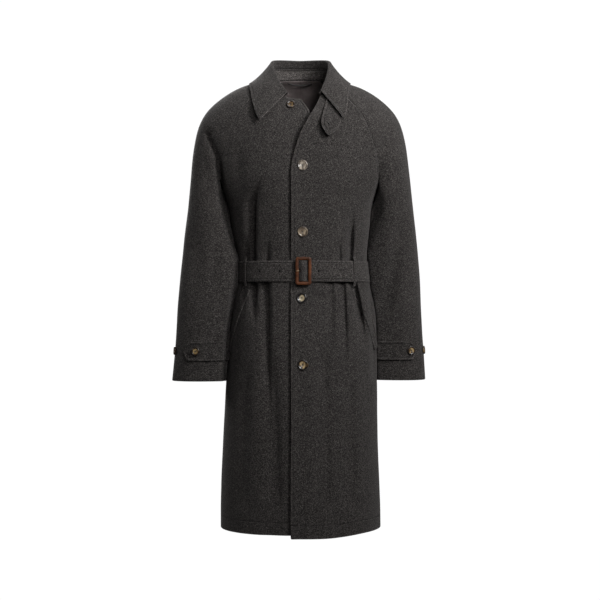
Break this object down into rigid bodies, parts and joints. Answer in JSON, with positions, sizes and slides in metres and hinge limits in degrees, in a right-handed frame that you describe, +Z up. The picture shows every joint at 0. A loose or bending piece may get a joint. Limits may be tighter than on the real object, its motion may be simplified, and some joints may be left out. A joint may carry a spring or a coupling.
{
  "type": "balmacaan coat",
  "caption": "Single-breasted wool balmacaan coat with raglan sleeves, fold-down collar, throat tab, cuff straps and a buckled belt, held open in its worn form.",
  "frame": {"origin": "middle of the neck opening, where the coat hangs on the wearer's neck and shoulders", "axes": "+Z up, -Y out of the front of the coat, +X to the wearer's left"},
  "size_m": [0.634, 0.3399, 1.179],
  "materials": {
    "wool": "brushed charcoal wool with a fine fleck",
    "lining": "dark satin lining",
    "leather": "smooth brown leather",
    "horn": "polished mottled horn",
    "metal": "satin"
  },
  "bodies": {
    "root": {"front_left": "wool", "front_right": "wool", "back": "wool", "sleeve_left_front": "wool", "sleeve_left_back": "wool", "sleeve_right_front": "wool", "sleeve_right_back": "wool", "collar_stand": "wool", "collar_leaf": "wool", "throat_tab": "wool", "hanger_loop": "wool", "belt": "wool", "belt_loop_left": "wool", "belt_loop_right": "wool", "pocket_welt_left": "wool", "pocket_welt_right": "wool", "cuff_strap_left": "wool", "cuff_strap_right": "wool", "back_lining": "lining", "buckle_frame": "leather", "buckle_prong": "metal", "front_button_1": "horn", "front_button_2": "horn", "front_button_3": "horn", "front_button_4": "horn", "front_button_5": "horn", "cuff_button_left_1": "horn", "cuff_button_left_2": "horn", "cuff_button_right_1": "horn", "cuff_button_right_2": "horn"}
  },
  "joints": []
}
